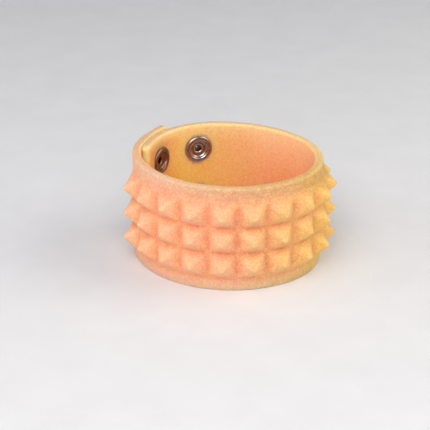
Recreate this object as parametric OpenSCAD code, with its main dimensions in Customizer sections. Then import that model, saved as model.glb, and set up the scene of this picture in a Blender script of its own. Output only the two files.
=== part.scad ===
// Studded silicone cuff, fastened by two rows of press snaps and standing on its lower edge.
// Millimetres, Z up. The origin is on the floor, under the middle of the part.
// Seen from above, the strap starts at the left, runs clockwise round the back, the right and
// the front, and its free end laps over the start.

/* [Strap] */
// Width of the strap, which is the height of the standing cuff
strap_w = 37.4; // [34:0.2:44]
// Thickness of the silicone wall under the studs
wall = 2.9; // [2.5:0.1:3.4]
// Rounding of the long edges of the wall
edge_r = 0.9; // [0.4:0.1:1.1]
// Rounding of the corners at both ends of the strap
corner_r = 2; // [0.5:0.1:4]

/* [Loop] */
// Outer width of the fastened loop from left to right, without the studs
loop_w = 65.4; // [60:0.2:76]
// Space between the two layers where they overlap
lap_gap = 0.5; // [0.4:0.05:0.8]
// Length of the free tip of the flap past its snap
tip_len = 10.5; // [7:0.1:12]

/* [Studs] */
// Rows of pyramid studs across the strap
rows = 3; // [1:1:3]
// Distance from row to row
row_pitch = 9.2; // [8:0.1:10]
// Distance from column to column, along the outer surface
col_pitch = 9.7; // [8.5:0.1:10.5]
// Height of a stud above the wall
stud_h = 4.9; // [3:0.1:6]
// Width of the blunt tip of a stud
tip_w = 0.9; // [0.5:0.1:1.5]
// Length of the flap that has no studs
flap_plain = 31.4; // [26:0.2:36]
// Length of the inner end that has no studs, at least
inner_plain = 48; // [44:0.5:56]

/* [Snaps] */
// Distance between the upper and the lower row of snaps
snap_rise = 19; // [15:0.2:20]
// Distance from the inner end to the snaps in use, along the outer surface
snap_inset = 11.4; // [9:0.1:13]
// Distance from the snaps in use to the spare ones
snap_step = 19.8; // [16:0.1:22]
// Outer diameter of the rolled eyelet
eyelet_d = 9.9; // [9:0.1:11]
// Bore of the eyelet
bore_d = 2.4; // [1.8:0.1:2.6]
// Diameter of the head of the snap button
head_d = 4.7; // [4.4:0.1:5]
// Diameter of the cap on the outside of the flap
cap_d = 11; // [10:0.1:12.5]

/* [Hidden] */
$fn = 96;

silicone = [0.96, 0.74, 0.57];
metal = [0.62, 0.60, 0.58];
mid_z = strap_w / 2;

// Plan of the outer surface: tangent arcs, each [centre, radius, first bearing, last bearing],
// with the bearings falling. The loop is a little oval and the flap lies round the first arc.
clasp_r = tidy(0.407 * loop_w);
back_r = tidy(0.571 * loop_w);
side_r = tidy(0.4113 * loop_w);
front_r = tidy(0.5236 * loop_w);
tip_r = tidy(0.77 * loop_w);
flap_r = clasp_r + wall + lap_gap;
start_az = 176;
back_az = 91.3;
side_az = 37.6;
worn_az = tidy(start_az - deg(snap_inset, clasp_r));
spare_az = start_az - deg(snap_inset + snap_step, clasp_r);
// The flap starts to lift a little before its snap
tip_lead = 1.6;
tip_az = tidy(worn_az - 360 + deg(tip_lead, flap_r));

// Shift that brings the middle of the whole part over the origin
mid_x = 0.0532 * loop_w;
mid_y = 0.0949 * loop_w;

back_c = [-mid_x, -mid_y];
clasp_c = back_c + (back_r - clasp_r) * dir(back_az);
side_c = back_c + (back_r - side_r) * dir(side_az);
// The front arc touches both the side arc and the flap arc from outside
reach = clasp_c - side_c;
side_gap = front_r - side_r;
flap_gap = front_r - flap_r;
span = norm(reach);
front_az = tidy(atan2(reach[1], reach[0]) - 360
    + acos((pow(flap_gap, 2) - pow(span, 2) - pow(side_gap, 2)) / (2 * span * side_gap)));
front_c = side_c - side_gap * dir(front_az);
meet = reach + side_gap * dir(front_az);
flap_az = tidy(atan2(meet[1], meet[0]) - (meet[1] > 0 ? 360 : 0));
flap_c = front_c + flap_gap * dir(flap_az);
tip_c = flap_c - (tip_r - flap_r) * dir(tip_az);
end_az = tidy(tip_az - deg(tip_lead + tip_len, tip_r));

arcs = [
    [clasp_c, clasp_r, start_az, back_az],
    [back_c, back_r, back_az, side_az],
    [side_c, side_r, side_az, front_az],
    [front_c, front_r, front_az, flap_az],
    [flap_c, flap_r, flap_az, tip_az],
    [tip_c, tip_r, tip_az, end_az]
];

function dir(a) = [cos(a), sin(a)];
function deg(len, r) = len / r * 180 / PI;
function tidy(a) = round(a * 100) / 100;
function arc_len(a) = (a[2] - a[3]) * a[1] * PI / 180;
function total(i = 0) = i == len(arcs) ? 0 : arc_len(arcs[i]) + total(i + 1);
// Point and bearing of the outer surface at a distance from the inner end
function bearing(a, s) = a[2] - deg(s, a[1]);
function place(s, i = 0) = i == len(arcs) - 1 || s <= arc_len(arcs[i])
    ? [arcs[i][0] + arcs[i][1] * dir(bearing(arcs[i], s)), bearing(arcs[i], s)]
    : place(s - arc_len(arcs[i]), i + 1);

columns = floor((total() - flap_plain - inner_plain) / col_pitch);

// Section of the wall, standing on the floor with its outer face at zero; each long edge is
// rounded in flats from one face to the next
module section() {
    polygon([for (q = [0 : 3], t = [0 : 30 : 90])
        [q == 0 || q == 3 ? -edge_r : edge_r - wall, q < 2 ? strap_w - edge_r : edge_r]
            + edge_r * dir(90 * q + t)]);
}

// Moves a child by a plan vector in a coarse and a fine step, so that the arcs meet exactly
module shift(v) {
    coarse = [tidy(v[0]), tidy(v[1]), 0];
    translate(coarse) translate([v[0], v[1], 0] - coarse) children();
}

module wall_arc(a) {
    shift(a[0]) rotate_extrude(angle = a[2] - a[3], start = a[3])
        translate([a[1], 0]) section();
}

// Puts a child at a distance along the strap, with X outward from the surface
module at_length(s, z) {
    p = place(s);
    translate([p[0][0], p[0][1], z]) rotate([0, 0, p[1]]) children();
}

// Profile of a stud across one direction: half widths at the foot and at the tip
module stud_profile(half) {
    sink = 0.8;
    lean = (half - tip_w / 2) / stud_h;
    polygon([[-sink, -half - sink * lean], [stud_h, -tip_w / 2],
        [stud_h, tip_w / 2], [-sink, half + sink * lean]]);
}

// Square pyramid with a blunt tip; its foot is sunk in the wall and its slopes meet the next
// stud's in a sharp valley just above the wall
module stud() {
    intersection() {
        translate([0, 0, -10]) linear_extrude(20) stud_profile(col_pitch / 2);
        rotate([90, 0, 0]) translate([0, 0, -10]) linear_extrude(20)
            stud_profile(row_pitch / 2 + 0.14);
    }
}

// Rounds the upper and lower corner of one end; way is the side the strap runs to. The round
// meets the straight edges at a slight angle, a hair inside true tangency
module corner_cuts(s, way) {
    inset = corner_r - 0.02;
    for (up = [0, 1])
        at_length(s, up ? strap_w : 0) mirror([0, 0, up]) mirror([0, way > 0 ? 0 : 1, 0])
            difference() {
                translate([-wall - 1, -1, -1]) cube([wall + 2, corner_r + 1, corner_r + 1]);
                translate([-wall - 2, inset, inset]) rotate([0, 90, 0])
                    cylinder(r = corner_r, h = wall + 4);
            }
}

// Puts a child at a snap: Z points outward and zero is the outer face of the inner layer
module at_snap(az, up) {
    p = clasp_c + clasp_r * dir(az);
    translate([p[0], p[1], mid_z + up * snap_rise / 2]) rotate([0, 0, az]) rotate([0, 90, 0])
        children();
}

// Heights of the snap parts, measured outward from the outer face of the inner layer
tube_r = bore_d / 2 + 0.6;
eyelet_seat = 0.15 - wall;
flange_r = 4;
flange_sink = 0.45;
head_top = 1.8;
socket_top = 2.2;
cap_seat = lap_gap + wall - 0.5;

// Stepped hole of a snap: a flat seat for the eyelet, the tube's hole, a pocket for the flange
// and, where the flap lies over it, a pocket for the socket, the post's hole and the cap's seat
module snap_hole(with_flap) {
    seat = [[0, -wall - 2], [eyelet_d / 2 + 0.1, -wall - 2], [eyelet_d / 2 + 0.1, eyelet_seat],
        [tube_r + 0.1, eyelet_seat], [tube_r + 0.1, -flange_sink],
        [flange_r + 0.15, -flange_sink]];
    lower = [[flange_r + 0.15, 0.2], [0, 0.2]];
    upper = [[flange_r + 0.15, socket_top + 0.05], [1.35, socket_top + 0.05],
        [1.35, cap_seat], [cap_d / 2 + 0.1, cap_seat], [cap_d / 2 + 0.1, cap_seat + 3],
        [0, cap_seat + 3]];
    rotate([0, 0, 50]) rotate_extrude() polygon(concat(seat, with_flap ? upper : lower));
}

module band() {
    color(silicone) difference() {
        union() {
            for (a = arcs) wall_arc(a);
            for (k = [0 : columns - 1], j = [0 : rows - 1])
                at_length(total() - flap_plain - (k + 0.5) * col_pitch,
                    mid_z + (j - (rows - 1) / 2) * row_pitch) stud();
        }
        corner_cuts(0, -1);
        corner_cuts(total(), 1);
        for (up = [-1, 1]) {
            at_snap(worn_az, up) snap_hole(true);
            at_snap(spare_az, up) snap_hole(false);
        }
    }
}

// Rolled ring on the inside of the strap, a sunk dish and the rivet tube through the wall
module eyelet() {
    roll = 0.6;
    rim = eyelet_d / 2 - roll;
    under = eyelet_seat - 0.05;
    color(metal) rotate_extrude() {
        translate([rim, under - roll]) circle(r = roll, $fn = 12);
        polygon([[tube_r - 0.3, under - 0.75], [2.9, under - 0.4], [rim - 0.1, under - 0.7],
            [rim - 0.3, under - 0.05], [tube_r - 0.3, under]]);
        translate([bore_d / 2, under - 0.7]) square([tube_r - bore_d / 2, 1.6 - under]);
    }
}

// Snap button on the outer face of the inner layer: a flange with a bulged hollow head
module button() {
    bulge = 0.6;
    color(metal) rotate_extrude() difference() {
        union() {
            translate([0, 0.05 - flange_sink]) square([flange_r, flange_sink + 0.05]);
            square([head_d / 2 - 0.25, head_top - bulge]);
            translate([head_d / 2 - bulge, head_top - bulge]) circle(r = bulge, $fn = 12);
            square([head_d / 2 - bulge, head_top]);
        }
        translate([0, -2]) square([tube_r + 0.05, 3]);
    }
}

// Plain domed cap on the outside of the flap, with the post and the socket clinched to it
module cap() {
    dome = 1;
    edge = 0.6;
    ball = (pow(cap_d / 2, 2) + dome * dome) / (2 * dome);
    under = cap_seat + 0.05;
    color(metal) rotate_extrude() {
        translate([head_d / 2 + 0.15, 0.2])
            square([flange_r - head_d / 2 - 0.15, socket_top - 0.2]);
        translate([0, head_top + 0.15]) square([flange_r, socket_top - head_top - 0.15]);
        translate([0, socket_top - 0.1]) square([1.25, under - socket_top + 0.2]);
        translate([0, under]) square([cap_d / 2, edge]);
        intersection() {
            translate([0, under + edge + dome - ball]) circle(r = ball);
            translate([0, under + 0.1]) square([cap_d / 2, edge + dome]);
        }
    }
}

module eyelet_worn_upper() { at_snap(worn_az, 1) eyelet(); }
module eyelet_worn_lower() { at_snap(worn_az, -1) eyelet(); }
module eyelet_spare_upper() { at_snap(spare_az, 1) eyelet(); }
module eyelet_spare_lower() { at_snap(spare_az, -1) eyelet(); }
module button_worn_upper() { at_snap(worn_az, 1) button(); }
module button_worn_lower() { at_snap(worn_az, -1) button(); }
module button_spare_upper() { at_snap(spare_az, 1) button(); }
module button_spare_lower() { at_snap(spare_az, -1) button(); }
module cap_upper() { at_snap(worn_az, 1) cap(); }
module cap_lower() { at_snap(worn_az, -1) cap(); }

band();
eyelet_worn_upper();
eyelet_worn_lower();
eyelet_spare_upper();
eyelet_spare_lower();
button_worn_upper();
button_worn_lower();
button_spare_upper();
button_spare_lower();
cap_upper();
cap_lower();
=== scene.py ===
import math

import bmesh
import bpy
import numpy as np
from mathutils import Matrix


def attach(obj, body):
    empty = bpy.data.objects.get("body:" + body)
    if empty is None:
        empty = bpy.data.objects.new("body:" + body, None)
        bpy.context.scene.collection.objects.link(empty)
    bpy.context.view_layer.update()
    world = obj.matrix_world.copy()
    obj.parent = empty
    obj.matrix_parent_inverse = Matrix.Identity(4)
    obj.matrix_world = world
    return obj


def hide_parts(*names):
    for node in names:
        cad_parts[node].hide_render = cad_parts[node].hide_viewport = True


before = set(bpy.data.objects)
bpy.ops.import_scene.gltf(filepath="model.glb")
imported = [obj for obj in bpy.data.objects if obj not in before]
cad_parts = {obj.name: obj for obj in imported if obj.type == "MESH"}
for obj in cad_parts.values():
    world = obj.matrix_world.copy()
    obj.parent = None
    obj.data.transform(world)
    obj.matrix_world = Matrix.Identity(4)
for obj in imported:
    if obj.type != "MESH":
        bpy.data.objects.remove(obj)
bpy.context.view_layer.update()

# Strap. One moulding of soft matte silicone that lets a little light through, cast with its
# pyramid studs on the outside. It is bent into an oval loop, starts at the left, runs clockwise
# seen from above, and its free end laps over its start. Sizes are millimetres up to the meshes.
strap_width = 37.4
wall = 2.9
edge_round = 0.9
foot_round = 0.45
corner_round = 2.0
loop_width = 65.4
lap_gap = 0.5
tip_length = 10.5
stud_rows = 3
row_pitch = 9.2
column_pitch = 9.7
stud_height = 4.9
stud_tip = 0.9
plain_flap = 31.4
plain_start = 48.0
snap_inset = 11.4
middle = strap_width / 2
mm = 0.001


def towards(bearing):
    return np.array([math.cos(math.radians(bearing)), math.sin(math.radians(bearing))])


def turn(length, radius):
    return math.degrees(length / radius)


# The loop seen from above is a run of arcs that flow into each other: centre, radius, first
# bearing and last bearing, for the outer face of the wall.
clasp_radius = round(0.407 * loop_width, 2)
back_radius = round(0.571 * loop_width, 2)
side_radius = round(0.4113 * loop_width, 2)
front_radius = round(0.5236 * loop_width, 2)
tip_radius = round(0.77 * loop_width, 2)
flap_radius = clasp_radius + wall + lap_gap
start_bearing, back_bearing, side_bearing = 176.0, 91.3, 37.6
worn_bearing = round(start_bearing - turn(snap_inset, clasp_radius), 2)
back_centre = np.array([-0.0532, -0.0949]) * loop_width
clasp_centre = back_centre + (back_radius - clasp_radius) * towards(back_bearing)
side_centre = back_centre + (back_radius - side_radius) * towards(side_bearing)
between = clasp_centre - side_centre
span = math.hypot(*between)
side_gap, flap_gap = front_radius - side_radius, front_radius - flap_radius
front_bearing = round(math.degrees(math.atan2(between[1], between[0])) - 360 + math.degrees(
    math.acos((flap_gap ** 2 - span ** 2 - side_gap ** 2) / (2 * span * side_gap))), 2)
front_centre = side_centre - side_gap * towards(front_bearing)
meet = between + side_gap * towards(front_bearing)
flap_bearing = round(math.degrees(math.atan2(meet[1], meet[0])) - (360 if meet[1] > 0 else 0), 2)
flap_centre = front_centre + flap_gap * towards(flap_bearing)
tip_lead = 1.6
tip_bearing = round(worn_bearing - 360 + turn(tip_lead, flap_radius), 2)
tip_centre = flap_centre - (tip_radius - flap_radius) * towards(tip_bearing)
end_bearing = round(tip_bearing - turn(tip_lead + tip_length, tip_radius), 2)
arcs = [
    (clasp_centre, clasp_radius, start_bearing, back_bearing),
    (back_centre, back_radius, back_bearing, side_bearing),
    (side_centre, side_radius, side_bearing, front_bearing),
    (front_centre, front_radius, front_bearing, flap_bearing),
    (flap_centre, flap_radius, flap_bearing, tip_bearing),
    (tip_centre, tip_radius, tip_bearing, end_bearing),
]
arc_ends = np.cumsum([math.radians(a[2] - a[3]) * a[1] for a in arcs])
strap_length = float(arc_ends[-1])
stud_columns = int((strap_length - plain_flap - plain_start) // column_pitch)
stud_centres = [strap_length - plain_flap - (k + 0.5) * column_pitch for k in range(stud_columns)]
row_centres = [middle + (j - (stud_rows - 1) / 2) * row_pitch for j in range(stud_rows)]


def along_strap(lengths):
    """Plan point and outward direction of the wall's outer face at lengths from the inner end."""
    lengths = np.atleast_1d(np.asarray(lengths, float))
    points, outward = np.zeros((len(lengths), 2)), np.zeros((len(lengths), 2))
    which = np.minimum(np.searchsorted(arc_ends, lengths - 1e-9), len(arcs) - 1)
    for i, (centre, radius, first, _) in enumerate(arcs):
        here = which == i
        before = arc_ends[i - 1] if i else 0.0
        angle = np.radians(first) - (lengths[here] - before) / radius
        outward[here] = np.stack([np.cos(angle), np.sin(angle)], 1)
        points[here] = centre + radius * outward[here]
    return points, outward


def soft_min(a, b, soft):
    return np.minimum(a, b) - np.maximum(soft - np.abs(a - b), 0) ** 2 / (4 * soft)


def soft_max(a, b, soft):
    return -soft_min(-a, -b, soft)


# How softly the faces of a stud meet: round its flat top, on the hips near the top and how much
# more further down, in the valley to the next stud, and at the foot. The rows overlap a little.
top_soft, hip_soft, hip_more, hip_length = 0.5, 0.6, 1.6, 1.8
valley_soft, foot_soft, row_overlap = 1.1, 1.2, 0.14


def stud_relief(lengths, heights):
    """How far the studs stand out of the wall on a grid of lengths by heights."""
    points, outward = along_strap(lengths)
    relief = np.full((len(lengths), len(heights)), -2 * stud_height)
    half_u, half_v = column_pitch / 2, row_pitch / 2 + row_overlap
    lean_u, lean_v = (half_u - stud_tip / 2) / stud_height, (half_v - stud_tip / 2) / stud_height
    for centre in stud_centres:
        near = np.abs(lengths - centre) < column_pitch * 1.1
        middle_point, out = along_strap([centre])
        out = out[0]
        side = np.array([-out[1], out[0]])
        away = points[near] - middle_point[0]
        x, y = away @ out, away @ side
        a, b = outward[near] @ out, outward[near] @ side
        left = ((half_u - y - lean_u * x) / (b + lean_u * a))[:, None]
        right = ((half_u + y - lean_u * x) / (-b + lean_u * a))[:, None]
        top = ((stud_height - x) / a)[:, None]
        across = soft_min(soft_min(left, right, top_soft), top, top_soft)
        for row in row_centres:
            rise = heights - row
            up = ((half_v - rise) / lean_v - x[:, None]) / a[:, None]
            down = ((half_v + rise) / lean_v - x[:, None]) / a[:, None]
            along = soft_min(up, down, top_soft)
            lower = np.clip((stud_height - np.minimum(across, along)) / hip_length, 0, 1)
            stud = soft_min(across, along, hip_soft + hip_more * lower)
            relief[near] = soft_max(relief[near], stud, valley_soft)
    return soft_max(relief, np.zeros_like(relief), foot_soft)


def crowded(first, last, count, tight=0.62):
    """Positions from first to last that crowd at both ends and in the middle."""
    t = np.linspace(-1, 1, count + 1)
    t = t - tight * np.sin(2 * np.pi * t) / (2 * np.pi)
    return first + (last - first) * (t + 1) / 2


def easing(first, last, count, power=1.7):
    """Positions from first to last that crowd near last."""
    t = np.linspace(0, 1, count + 1)
    return last + (first - last) * (1 - t) ** power


def joined(parts):
    out = [float(parts[0][0])]
    for part in parts:
        out += [float(v) for v in part if v > out[-1] + 1e-6]
    return np.array(out)


# The stations lie along the strap and the rows across it. They crowd where the shape bends most.
field_start = stud_centres[-1] - column_pitch / 2
field_end = stud_centres[0] + column_pitch / 2
end_steps = np.array([0, 0.02, 0.07, 0.15, 0.26, 0.4, 0.55, 0.7, 0.9, 1.2, 1.6, 2.0])
lead, lead_steps, stud_steps = 3.0, 12, 24
stations = joined(
    [end_steps, np.linspace(end_steps[-1], field_start - lead, 52),
     easing(field_start - lead, field_start, lead_steps)]
    + [crowded(c - column_pitch / 2, c + column_pitch / 2, stud_steps) for c in stud_centres[::-1]]
    + [field_end + lead - easing(0, lead, lead_steps)[::-1],
       np.linspace(field_end + lead, strap_length - end_steps[-1], 26),
       strap_length - end_steps[::-1]])
low_foot, high_foot = row_centres[0] - row_pitch / 2, row_centres[-1] + row_pitch / 2
outer_rows = joined(
    [easing(foot_round, low_foot, lead_steps)]
    + [crowded(r - row_pitch / 2, r + row_pitch / 2, stud_steps) for r in row_centres]
    + [high_foot + strap_width - edge_round
       - easing(high_foot, strap_width - edge_round, 18)[::-1]])
inner_rows = np.linspace(strap_width - edge_round, foot_round, 26)
relief = stud_relief(stations, outer_rows)


def averaging(positions, reach):
    """Weights that average a row of uneven positions with its neighbours within reach."""
    weights = np.exp(-0.5 * ((positions[:, None] - positions[None, :]) / reach) ** 2)
    weights = weights * np.gradient(positions)[None, :]
    return weights / weights.sum(1, keepdims=True)


# A faint crease runs along the wall just under the upper edge, round the front and the right
crease_height, crease_depth, crease_half = strap_width - 2.2, 0.11, 0.32
crease_start, crease_end, crease_fade = strap_length - 108.0, strap_length - 66.0, 12.0
along_crease = np.clip((stations - crease_start) / crease_fade, 0, 1) * np.clip(
    (crease_end - stations) / crease_fade, 0, 1)
relief -= crease_depth * np.outer(
    along_crease, np.exp(-0.5 * ((outer_rows - crease_height) / crease_half) ** 2))

# Poise is -1 in the grooves between studs, 0 on plain wall and half way up a stud, 1 on a tip
look_round, tip_start, tip_rise, groove_rise, hemmed_in = 2.6, 1.7, 2.9, 2.4, 1.4
around_it = averaging(stations, look_round) @ relief @ averaging(outer_rows, look_round).T
poise = (np.clip((relief - tip_start) / tip_rise, 0, 1)
         - np.clip(1 - relief / groove_rise, 0, 1) * np.clip(around_it / hemmed_in, 0, 1))


def rounded_edge(depth, height, radius, first):
    """Points of a quarter turn about a centre, from bearing first, without its two ends."""
    return [("edge", depth + radius * math.cos(t), height + radius * math.sin(t))
            for t in np.radians(np.linspace(first, first + 90, 9))[1:-1]]


# One closed ring of points runs round the wall's section at each station, up the outer face
# and down the inner one. Both long edges and both ends are rounded, the lower edge less. A face
# point carries its row in the relief, and an edge point how far out of the wall's face it lies.
around = [("face", i, z) for i, z in enumerate(outer_rows)]
around += rounded_edge(-edge_round, strap_width - edge_round, edge_round, 0)
around += [("edge", depth, strap_width) for depth in (-edge_round, -wall / 2, edge_round - wall)]
around += rounded_edge(edge_round - wall, strap_width - edge_round, edge_round, 90)
around += [("edge", -wall, z) for z in inner_rows]
around += rounded_edge(foot_round - wall, foot_round, foot_round, 180)
around += [("edge", depth, 0.0) for depth in (foot_round - wall, -wall / 2, -foot_round)]
around += rounded_edge(-foot_round, foot_round, foot_round, 270)
points, outward = along_strap(stations)
from_end = np.minimum(stations, strap_length - stations)


def rounding(at_inner_end, at_tip):
    """How far the surface draws back near the inner end and near the tip of the flap."""
    radius = np.where(stations < strap_length / 2, at_inner_end, at_tip)
    inside = np.clip(radius - from_end, 0, radius)
    return radius - np.sqrt(radius ** 2 - inside ** 2)


def ramp(value, start, finish):
    t = np.clip((value - start) / (finish - start), 0, 1)
    return t * t * (3 - 2 * t)


# In the lap the layers touch: the inner end springs out to the flap, and past it the soft flap
# is pressed on the inner layer, so that its inner face lies a little deeper
lap_start = arc_ends[3] + math.radians(flap_bearing - (start_bearing - 360)) * flap_radius
lap_end = arc_ends[4]
touch, touch_start, spring_length = 0.45, 0.4, 6.2
release_start, release_end = lap_end - 1.0, lap_end + 5.0
spring = touch * (1 - ramp(stations, touch_start, spring_length))
press = touch * ramp(stations, lap_start + touch_start, lap_start + spring_length) * (
    1 - ramp(stations, release_start, release_end))
# The inner end is rounded mostly on the wrist's side, and the tip of the flap evenly. The heart
# is the depth in the wall that both faces draw in to.
inner_end_round, tip_round, tip_corner_round, inner_end_heart = 1.4, 0.7, 1.5, 0.6
thin = 1 - rounding(inner_end_round, tip_round) / (wall / 2)
heart = np.where(stations < strap_length / 2, inner_end_heart, wall / 2)
short = 1 - rounding(corner_round, tip_corner_round) / middle
places = np.zeros((len(stations), len(around), 3))
stand_out = np.zeros((len(stations), len(around)))
standing = np.zeros((len(stations), len(around)))
for i, (kind, value, z) in enumerate(around):
    off = relief[:, value] if kind == "face" else np.full(len(stations), value)
    standing[:, i] = poise[:, value] if kind == "face" else 0.0
    stand_out[:, i] = off
    if kind == "edge":
        off = off * (1 + press / wall)
    off = (off + heart) * thin - heart + spring
    places[:, i, :2] = points + outward * off[:, None]
    places[:, i, 2] = middle + (z - middle) * short


def new_piece(name, vertices, faces):
    mesh = bpy.data.meshes.new(name)
    mesh.from_pydata([tuple(v) for v in vertices], [], faces)
    mesh.validate()
    piece = bpy.data.objects.new(name, mesh)
    bpy.context.scene.collection.objects.link(piece)
    return piece


def face_outward(piece):
    edit = bmesh.new()
    edit.from_mesh(piece.data)
    bmesh.ops.recalc_face_normals(edit, faces=edit.faces)
    edit.to_mesh(piece.data)
    edit.free()


rings, ring = len(stations), len(around)
faces = []
for s in range(rings - 1):
    for i in range(ring):
        j = (i + 1) % ring
        faces.append((s * ring + i, s * ring + j, (s + 1) * ring + j, (s + 1) * ring + i))
faces.append(tuple(range(ring))[::-1])
faces.append(tuple((rings - 1) * ring + i for i in range(ring)))
strap = new_piece("strap", places.reshape(-1, 3) * mm, faces)
face_outward(strap)

# The material reads three values at each point: how far it stands out of the wall, its poise,
# and how close it is to an end of the strap
glow_reach = 1.0
end_glow = np.repeat(np.exp(-from_end / glow_reach)[:, None], ring, 1)
for label, values in (("stand_out", stand_out), ("poise", standing), ("end_glow", end_glow)):
    reading = strap.data.attributes.new(label, "FLOAT", "POINT")
    reading.data.foreach_set("value", values.reshape(-1))


def lathe(name, outline, steps=96):
    """Turns a closed outline of (radius, height) points, in millimetres, about the z axis."""
    vertices, rows = [], []
    for r, z in outline:
        if r < 1e-6:
            rows.append([len(vertices)] * steps)
            vertices.append((0.0, 0.0, z * mm))
            continue
        rows.append(list(range(len(vertices), len(vertices) + steps)))
        vertices += [(r * mm * math.cos(2 * math.pi * k / steps),
                      r * mm * math.sin(2 * math.pi * k / steps), z * mm) for k in range(steps)]
    skin = []
    for a, b in zip(rows, rows[1:] + rows[:1]):
        for k in range(steps):
            corners = []
            for v in (a[k], a[(k + 1) % steps], b[(k + 1) % steps], b[k]):
                if v not in corners:
                    corners.append(v)
            if len(corners) > 2:
                skin.append(tuple(corners))
    piece = new_piece(name, vertices, skin)
    face_outward(piece)
    return piece


snap_step, snap_rise = 19.8, 19.0
spare_bearing = start_bearing - turn(snap_inset + snap_step, clasp_radius)


def placing(first, second, third, spot):
    """The matrix that turns the three axes to these directions and the origin to spot."""
    return Matrix([[first[k], second[k], third[k], spot[k]] for k in range(3)] + [[0, 0, 0, 1]])


def at_snap(piece, bearing, up):
    """Turns a piece so that its axis points outward at a snap, with height zero on the outer
    face of the inner layer, and bakes the place into its mesh."""
    spot = [*(clasp_centre + clasp_radius * towards(bearing)), middle + up * snap_rise / 2]
    axis, first = np.array([*towards(bearing), 0.0]), np.array([0.0, 0.0, -1.0])
    piece.data.transform(placing(first, np.cross(axis, first), axis, np.array(spot) * mm))
    return piece


# Each snap has its hole cut through the wall: seats for the eyelet and the button's flange, and
# over the two in use a way through the flap with a seat for the cap. Play is the room round a
# part in its hole, and gap is the air left before its seat.
snap_spots = [("worn", worn_bearing, "upper", 1), ("worn", worn_bearing, "lower", -1),
              ("spare", spare_bearing, "upper", 1), ("spare", spare_bearing, "lower", -1)]
eyelet_radius, tube_radius, flange_radius, cap_radius, post_radius = 4.95, 1.8, 4.0, 5.5, 1.25
eyelet_seat, flange_sink, socket_top = 0.15 - wall, 0.45, 2.2
cap_seat = lap_gap + wall - 0.5
play, flange_play, gap = 0.1, 0.15, 0.05
below, above, open_top = -wall - 2, cap_seat + 3, 0.2
seat_outline = [(0, below), (eyelet_radius + play, below),
                (eyelet_radius + play, eyelet_seat), (tube_radius + play, eyelet_seat),
                (tube_radius + play, -flange_sink), (flange_radius + flange_play, -flange_sink)]
lap_outline = [(flange_radius + flange_play, socket_top + gap),
               (post_radius + play, socket_top + gap), (post_radius + play, cap_seat),
               (cap_radius + play, cap_seat), (cap_radius + play, above), (0, above)]
plain_outline = [(flange_radius + flange_play, open_top), (0, open_top)]
for use, bearing, _, up in snap_spots:
    hole = at_snap(lathe("hole", seat_outline + (lap_outline if use == "worn" else plain_outline)),
                   bearing, up)
    cut = strap.modifiers.new("hole", "BOOLEAN")
    cut.operation, cut.solver, cut.object = "DIFFERENCE", "EXACT", hole
    bpy.context.view_layer.update()
    cleaned = bpy.data.meshes.new_from_object(
        strap.evaluated_get(bpy.context.evaluated_depsgraph_get()))
    strap.modifiers.clear()
    strap.data = cleaned
    bpy.data.objects.remove(hole)
strap.data.name = "strap"
strap.data.shade_smooth()
strap.data.set_sharp_from_angle(angle=math.radians(50))


class Recipe:
    """Adds nodes to one material and joins them. Places are in metres and noise sizes are a
    number of cells to the metre."""

    def __init__(self, name):
        self.material = bpy.data.materials.new(name)
        self.material.use_nodes = True
        self.nodes = self.material.node_tree.nodes
        self.links = self.material.node_tree.links
        self.shader = self.nodes["Principled BSDF"]
        self.place = self.add("ShaderNodeTexCoord").outputs["Object"]

    def add(self, kind, inputs=None, **settings):
        node = self.nodes.new(kind)
        for key, value in settings.items():
            setattr(node, key, value)
        for key, value in (inputs or {}).items():
            self.put(node.inputs[key], value)
        return node

    def put(self, socket, value):
        if isinstance(value, bpy.types.NodeSocket):
            self.links.new(value, socket)
        else:
            socket.default_value = value

    def noise(self, scale, detail=3.0, rough=0.55, stretch=None):
        spot = self.place
        if stretch:
            spot = self.add("ShaderNodeMapping", {"Vector": spot, "Scale": stretch}).outputs[0]
        return self.add("ShaderNodeTexNoise", {"Vector": spot, "Scale": scale, "Detail": detail,
                                               "Roughness": rough}).outputs["Fac"]

    def ranged(self, value, low, high, to_low, to_high):
        return self.add("ShaderNodeMapRange", {"Value": value, "From Min": low, "From Max": high,
                                               "To Min": to_low, "To Max": to_high}).outputs[0]

    def maths(self, operation, a, b):
        node = self.add("ShaderNodeMath", operation=operation)
        self.put(node.inputs[0], a)
        self.put(node.inputs[1], b)
        return node.outputs[0]

    def product(self, first, *others):
        for other in others:
            first = self.maths("MULTIPLY", first, other)
        return first

    def blend(self, share, a, b):
        node = self.add("ShaderNodeMix", data_type="RGBA", blend_type="MIX")
        self.put(node.inputs[0], share)
        self.put(node.inputs[6], a)
        self.put(node.inputs[7], b)
        return node.outputs[2]

    def bump(self, height, strength, distance, under=None):
        values = {"Height": height, "Strength": strength, "Distance": distance}
        if under is not None:
            values["Normal"] = under
        return self.add("ShaderNodeBump", values).outputs[0]


# Silicone: peach pink at the left and front, more yellow towards the right as a painted light
# tint, deeper amber on the inside and in the grooves as painted shade and light passing through,
# paler on tips and edges as painted highlights, and finely speckled all over, both paler and
# deeper.
peach = (0.78, 0.41, 0.25, 1)
straw = (0.70, 0.45, 0.075, 1)
coral = (0.80, 0.23, 0.085, 1)
umber = (0.66, 0.30, 0.06, 1)
blush = (0.73, 0.40, 0.275, 1)
butter = (0.56, 0.37, 0.12, 1)
amber = (0.98, 0.68, 0.07, 1)
gold = (0.98, 0.54, 0.11, 1)
apricot = (0.92, 0.29, 0.09, 1)
shell = (0.98, 0.61, 0.36, 1)
bone = (0.50, 0.385, 0.31, 1)
wheat = (0.36, 0.27, 0.05, 1)
cream = (0.64, 0.37, 0.20, 1)
corn = (0.60, 0.56, 0.27, 1)
pale = (0.98, 0.67, 0.34, 1)
ember = (0.84, 0.24, 0.04, 1)
husk = (0.48, 0.28, 0.01, 1)
lemon = (0.70, 0.46, 0.12, 1)
petal = (0.84, 0.50, 0.38, 1)
rose = (0.78, 0.34, 0.28, 1)
end_light_tone = (0.98, 0.68, 0.31, 1)
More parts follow.
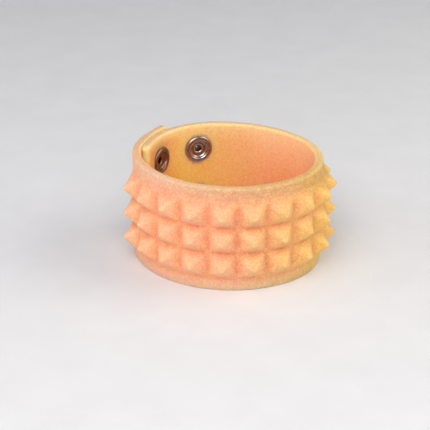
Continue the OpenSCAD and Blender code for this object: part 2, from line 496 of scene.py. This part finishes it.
honey = (0.86, 0.58, 0.20, 1)
salmon = (0.84, 0.36, 0.26, 1)
pale_fleck = (0.97, 0.70, 0.46, 1)
deep_fleck = (0.66, 0.27, 0.08, 1)
silicone = Recipe("silicone")
rightward, backward, upward = silicone.add(
    "ShaderNodeSeparateXYZ", {"Vector": silicone.place}).outputs
haze = silicone.ranged(silicone.noise(45, 3), 0.3, 0.7, -0.10, 0.10)
stand = silicone.add("ShaderNodeAttribute", attribute_name="stand_out").outputs["Fac"]
lift = silicone.add("ShaderNodeAttribute", attribute_name="poise").outputs["Fac"]
end_nearness = silicone.add("ShaderNodeAttribute", attribute_name="end_glow").outputs["Fac"]

# Outside: the wall, then painted shade in the grooves, then painted highlights on the tips of the
# studs
# Peach at the left to straw at the right is a painted light tint: pinkish light from the left,
# yellowish from the right
rightness = silicone.maths("ADD", silicone.ranged(rightward, 0.002, 0.032, 0, 1), haze)
# Painted shade: the grooves between the studs take a deeper coral to umber tone
groove_shade_share = silicone.ranged(lift, 0.15, -0.9, 0, 0.85)
# Painted highlight: the tips of the studs take a paler tone, pinker at the left and yellower at
# the right
tip_highlight_share = silicone.ranged(lift, 0.0, 0.9, 0, 0.7)
outside = silicone.blend(rightness, peach, straw)
outside = silicone.blend(groove_shade_share, outside, silicone.blend(rightness, coral, umber))
tip_highlight_tone = silicone.blend(silicone.ranged(rightward, -0.025, 0.020, 0, 1), blush, butter)
tip_highlight_tone = silicone.blend(silicone.ranged(rightward, 0.022, 0.034, 0, 1), tip_highlight_tone, lemon)
outside = silicone.blend(tip_highlight_share, outside, tip_highlight_tone)

# Inside, painted light and shade throughout: a yellow to pink tint across, deep low down, lighter
# towards the rim, a painted highlight at the rim, and darkest beside the snap in the lap
# Painted light tint: yellow at the left and pink at the right; painted shade low down, painted
# light higher up
from_lap = silicone.ranged(rightward, -0.024, 0.014, 0, 1)
raised = silicone.maths("ADD", silicone.ranged(upward, 0.012, 0.036, 0, 0.75), haze)
inside = silicone.blend(raised, silicone.blend(from_lap, amber, apricot),
                        silicone.blend(from_lap, gold, shell))
# Painted highlight: paler near the rim, mostly at the left
inner_rim_highlight = silicone.product(silicone.ranged(upward, 0.0310, 0.0366, 0, 0.75),
                            silicone.ranged(rightward, 0.010, 0.026, 1, 0.15))
inside = silicone.blend(inner_rim_highlight, inside, pale)
# Painted shade: deeper orange beside the snap in the lap, where less light comes through
lap_snap_shade = silicone.product(silicone.ranged(rightward, -0.017, -0.024, 0, 0.9),
                               silicone.ranged(upward, 0.0362, 0.0335, 0, 1),
                               silicone.ranged(backward, 0.0045, 0.0060, 0, 1),
                               silicone.ranged(end_nearness, 0.75, 0.35, 0, 1))
inside = silicone.blend(lap_snap_shade, inside, ember)

# Rim: paler tones at the front and at the back as a painted highlight, and a darker band under it
# at the right as painted shade
# Painted highlight: the rim's paler tones, lighter at the back
front_rim_highlight = silicone.blend(silicone.ranged(rightward, -0.024, 0.030, 0, 1), bone, wheat)
back_rim_highlight = silicone.blend(silicone.ranged(rightward, 0.004, 0.030, 0, 1), cream, corn)
rim = silicone.blend(silicone.ranged(backward, -0.016, 0.006, 0, 1), front_rim_highlight, back_rim_highlight)
outside = silicone.blend(silicone.ranged(upward, 0.0310, 0.0372, 0, 0.8), outside, rim)
# Painted shade: a darker band under the rim at the right
under_rim_shade = silicone.product(silicone.ranged(upward, 0.0300, 0.0325, 0, 1),
                             silicone.ranged(upward, 0.0371, 0.0358, 0, 0.95),
                             silicone.ranged(rightward, 0.023, 0.031, 0, 1))
outside = silicone.blend(under_rim_shade, outside, husk)

# Both faces together, with painted light along the lower edge and at the ends, and the speckling
# over them
colour = silicone.blend(silicone.ranged(stand, -1.9, -2.8, 0, 1), outside, inside)
# Painted light: the lower edge is lightened as if by light thrown back from the floor
lower_edge_light = silicone.blend(silicone.ranged(rightward, -0.024, 0.0, 0, 1), rose, petal)
lower_edge_light = silicone.blend(rightness, lower_edge_light, rim)
colour = silicone.blend(silicone.ranged(upward, 0.0050, 0.0010, 0, 0.6), colour, lower_edge_light)
# Painted light: the ends of the strap are lightened
colour = silicone.blend(silicone.ranged(end_nearness, 0.15, 0.8, 0, 0.85), colour, end_light_tone)
for size, low, high, share, tone in [(520, 0.42, 0.72, 0.30, honey),
                                     (430, 0.55, 0.25, 0.22, salmon)]:
    patches = silicone.noise(size, 3, 0.6)
    colour = silicone.blend(silicone.ranged(patches, low, high, 0, share), colour, tone)
grain = silicone.noise(1500, 2, 0.7)
colour = silicone.blend(silicone.ranged(grain, 0.42, 0.72, 0, 0.36), colour, pale_fleck)
colour = silicone.blend(silicone.ranged(grain, 0.54, 0.28, 0, 0.27), colour, deep_fleck)
silicone.put(silicone.shader.inputs["Base Color"], colour)
silicone.put(silicone.shader.inputs["Roughness"],
             silicone.ranged(silicone.noise(320, 4), 0.3, 0.7, 0.46, 0.62))
ripples = silicone.bump(silicone.noise(160, 2), 0.2, 0.0004)
pores = silicone.bump(silicone.noise(1500, 3, 0.6), 0.25, 0.00006, ripples)
silicone.put(silicone.shader.inputs["Normal"], pores)
silicone.shader.inputs["Subsurface Weight"].default_value = 0.85
silicone.shader.inputs["Subsurface Radius"].default_value = (1.0, 0.42, 0.18)
silicone.shader.inputs["Subsurface Scale"].default_value = 0.007
silicone.shader.inputs["Specular IOR Level"].default_value = 0.42
silicone.shader.inputs["IOR"].default_value = 1.41
strap.data.materials.clear()
strap.data.materials.append(silicone.material)
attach(strap, "root")
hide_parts("band")

# Eyelets. Each is pressed from thin plated steel: a rolled outer ring, a sunk dish and a raised
# collar round the bore. Its tube goes out through the wall and is clinched in the button.


def roll(radius, height, wide, tall, first, last, count):
    """Points of an oval bend in an outline, from bearing first to bearing last."""
    return [(radius + wide * math.cos(math.radians(a)), height + tall * math.sin(math.radians(a)))
            for a in np.linspace(first, last, count)]


underside, tube_end, bore_radius = eyelet_seat - gap, 0.9, 1.2
ring_wide, ring_tall, collar_wide = 0.87, 0.6, 0.8
eyelet_outline = (
    [(bore_radius, tube_end), (tube_radius, tube_end), (tube_radius, underside)]
    + roll(eyelet_radius - ring_wide, underside - ring_tall, ring_wide, ring_tall, 90, -150, 28)
    + roll(2.45, underside - 0.9, 0.83, 0.8, 8, 90, 12)
    + roll(bore_radius + collar_wide, underside + 0.42, collar_wide, 0.52, -75, -180, 12))

# The plating of the snaps in use is painted darker and browner, a painted reflection of dark and
# orange surroundings; each piece of them carries "worn" as 1
bright_plate = (0.44, 0.41, 0.40, 1)
dull_plate = (0.29, 0.22, 0.18, 1)
brown_plate = (0.36, 0.24, 0.17, 1)
darkest_brown_plate = (0.12, 0.04, 0.02, 1)
plate = Recipe("plated_metal")
worn = plate.add("ShaderNodeAttribute", attribute_name="worn").outputs["Fac"]
dulled = plate.maths("ADD", plate.ranged(plate.noise(110, 3), 0.35, 0.7, 0.15, 0.65),
                     plate.ranged(plate.noise(2600, 2), 0.3, 0.7, -0.12, 0.12))
plated = plate.blend(dulled, bright_plate, dull_plate)
# Painted reflection: the snaps in use take a darker, browner plate
dark_reflection_tone = plate.blend(dulled, brown_plate, darkest_brown_plate)
plate.put(plate.shader.inputs["Base Color"], plate.blend(worn, plated, dark_reflection_tone))
plate.put(plate.shader.inputs["Roughness"], plate.maths(
    "ADD", plate.ranged(plate.noise(600, 4), 0.3, 0.7, 0.20, 0.31),
    plate.ranged(worn, 0, 1, 0, 0.08)))
dents = plate.bump(plate.noise(700, 3), 0.10, 0.00003)
scratches = plate.bump(plate.noise(900, 2, 0.6, (1.0, 1.0, 9.0)), 0.10, 0.00002, dents)
plate.put(plate.shader.inputs["Normal"], scratches)
plate.shader.inputs["Metallic"].default_value = 1.0


def finish_metal(piece, use, *nodes):
    # Painted reflection share: 1 on the snaps in use, 0 on the others
    dark_reflection_share = piece.data.attributes.new("worn", "FLOAT", "POINT")
    dark_reflection_share.data.foreach_set("value", np.full(len(piece.data.vertices), float(use == "worn")))
    piece.data.shade_smooth()
    piece.data.set_sharp_from_angle(angle=math.radians(38))
    piece.data.materials.append(plate.material)
    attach(piece, "root")
    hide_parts(*nodes)


for use, bearing, level, up in snap_spots:
    eyelet = at_snap(lathe("eyelet_ring_%s_%s" % (use, level), eyelet_outline), bearing, up)
    finish_metal(eyelet, use, "eyelet_%s_%s" % (use, level))

# Snap buttons. The male half of each snap, pressed from the same plated steel: a round flange
# sunk in the outer face of the inner layer and a hollow head with a bulge that the socket grips.
# The eyelet's tube goes up into it and is clinched there.
tube_hole, hollow_top, bevel = tube_radius + gap, 1.0, 0.1
flange_under, flange_top = gap - flange_sink, 0.1
bulge_radius, bulge_height, bulge = 1.75, 1.2, 0.6
button_outline = (
    [(tube_hole, flange_under), (flange_radius - bevel, flange_under),
     (flange_radius, flange_under + bevel), (flange_radius, -0.02), (flange_radius - bevel, 0.08),
     (3.7, flange_top), (2.5, flange_top), (2.26, 0.16), (2.12, 0.3), (2.08, 0.5), (2.1, 0.72)]
    + roll(bulge_radius, bulge_height, bulge, bulge, -38, 90, 14)
    + [(1.1, 1.8), (0.95, 1.74), (0, 1.7), (0, hollow_top), (tube_hole, hollow_top)])
for use, bearing, level, up in snap_spots:
    button = at_snap(lathe("snap_button_%s_%s" % (use, level), button_outline), bearing, up)
    finish_metal(button, use, "button_%s_%s" % (use, level))

# Caps. Plain plated domes on the outside of the flap over the snaps in use. The post of each
# goes in through the flap and is clinched in the hidden socket that grips the button.
cap_underside, cap_lip = cap_seat + gap, 0.38
socket_radius, socket_base, grip_radius, grip_top = 4.0, 0.2, 2.5, 1.95
cap_outline = (
    [(0, cap_underside + 1.6), (1.4, cap_underside + 1.55), (2.8, cap_underside + 1.36),
     (3.9, cap_underside + 1.1), (4.7, cap_underside + 0.83)]
    + roll(cap_radius - cap_lip, cap_underside + cap_lip, cap_lip, cap_lip, 75, -90, 14)
    + [(post_radius, cap_underside), (post_radius, socket_top),
       (socket_radius - bevel, socket_top), (socket_radius, socket_top - bevel),
       (socket_radius, socket_base + bevel), (socket_radius - bevel, socket_base),
       (grip_radius + bevel, socket_base), (grip_radius, socket_base + bevel),
       (grip_radius, grip_top), (0, grip_top)])
for _, bearing, level, up in snap_spots[:2]:
    cap = at_snap(lathe("snap_cap_%s" % level, cap_outline), bearing, up)
    finish_metal(cap, "outside", "cap_%s" % level)

# Studio. A plain pale floor and five wide soft lights: a key high in front, one low at the left
# side, one low in front, a warmer fill from the upper right, and one high over the front that
# reaches the inside.
far = 3.0
floor = new_piece("floor", [(-far, -far, 0), (far, -far, 0), (far, far, 0), (-far, far, 0)],
                  [(0, 1, 2, 3)])
grey_paper = (0.70, 0.70, 0.72, 1)
white_paper = (0.73, 0.73, 0.75, 1)
paper = Recipe("floor_paper")
paper.put(paper.shader.inputs["Base Color"], paper.blend(
    paper.ranged(paper.noise(60, 3), 0.3, 0.7, 0, 1), grey_paper, white_paper))
paper.shader.inputs["Roughness"].default_value = 0.75
floor.data.materials.append(paper.material)

white, warm_white, yellow_white = (1.0, 0.98, 0.96), (1.0, 0.98, 0.95), (1.0, 0.94, 0.82)
lamp_side, aim = 0.5, np.array([0, 0, 0.02])


def soft_light(name, place, power, tint):
    """Adds a square lamp, in metres and watts, that faces the middle of the bracelet."""
    lamp = bpy.data.lights.new(name, "AREA")
    lamp.shape, lamp.size, lamp.size_y = "RECTANGLE", lamp_side, lamp_side
    lamp.energy, lamp.color = power, tint
    holder = bpy.data.objects.new(name, lamp)
    bpy.context.scene.collection.objects.link(holder)
    back = np.array(place) - aim
    back = back / np.linalg.norm(back)
    side = np.cross([0, 0, 1], back)
    side = side / np.linalg.norm(side)
    holder.matrix_world = placing(side, np.cross(back, side), back, place)


soft_light("key", (0.0, -0.60, 0.53), 2.2, white)
soft_light("side", (-0.62, -0.14, 0.18), 1.4, white)
soft_light("front", (-0.02, -0.75, 0.18), 0.9, warm_white)
soft_light("fill", (0.54, -0.02, 0.40), 2.3, yellow_white)
soft_light("over", (-0.20, -0.38, 0.62), 2.1, warm_white)
world = bpy.data.worlds.new("studio")
world.use_nodes = True
room_light = world.node_tree.nodes["Background"].inputs
room_light["Color"].default_value = (0.80, 0.84, 0.92, 1)
room_light["Strength"].default_value = 0.36
bpy.context.scene.world = world
bpy.context.scene.view_settings.view_transform = "Standard"

# Camera. It stands in front of the cuff and looks down at it a little, as in the photograph. Its
# place, in metres, and its lens were fitted to the rims and studs that show there.
pitch, tilt = math.radians(25.425), math.radians(-0.521)
right = np.array([1.0, 0.0, 0.0])
above = np.array([0.0, math.sin(pitch), math.cos(pitch)])
forward = np.array([0.0, math.cos(pitch), -math.sin(pitch)])
sideways = right * math.cos(tilt) - above * math.sin(tilt)
upright = right * math.sin(tilt) + above * math.cos(tilt)
spot = (-0.00517, -0.47429, 0.24004)
lens = bpy.data.cameras.new("camera")
lens.sensor_width = 36.0
lens.lens = 126.48
lens.clip_start = 0.01
camera = bpy.data.objects.new("camera", lens)
bpy.context.scene.collection.objects.link(camera)
camera.matrix_world = placing(sideways, upright, -forward, spot)
bpy.context.scene.camera = camera
